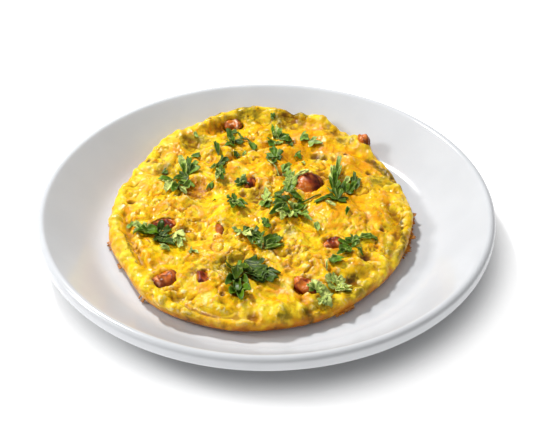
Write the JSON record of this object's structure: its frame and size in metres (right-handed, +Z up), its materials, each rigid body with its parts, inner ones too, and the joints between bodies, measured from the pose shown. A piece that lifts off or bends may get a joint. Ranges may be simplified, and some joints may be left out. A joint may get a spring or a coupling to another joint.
{
  "type": "open omelette on a plate",
  "caption": "Round open-faced omelette with melted cheese, tomato pieces and chopped herbs, served on a plain white deep-rimmed dinner plate.",
  "frame": {"origin": "on the table, under the middle of the plate", "axes": "+Z up, square to the plate; +Y to the back, where the omelette climbs the rim; -Y towards the viewer"},
  "size_m": [0.26, 0.26, 0.028],
  "materials": {
    "porcelain": "smooth white glaze",
    "egg": "set egg with melted cheese, greasy sheen, browned edge",
    "tomato": "cooked tomato, wet skin",
    "herb": "chopped fresh green leaves"
  },
  "bodies": {
    "root": {"plate": "porcelain", "omelette": "egg", "tomato_half": "tomato", "tomato_piece_1": "tomato", "tomato_piece_2": "tomato", "tomato_piece_3": "tomato", "tomato_piece_4": "tomato", "tomato_piece_5": "tomato", "tomato_piece_6": "tomato", "tomato_piece_7": "tomato", "tomato_piece_8": "tomato", "tomato_piece_9": "tomato"}
  },
  "joints": []
}
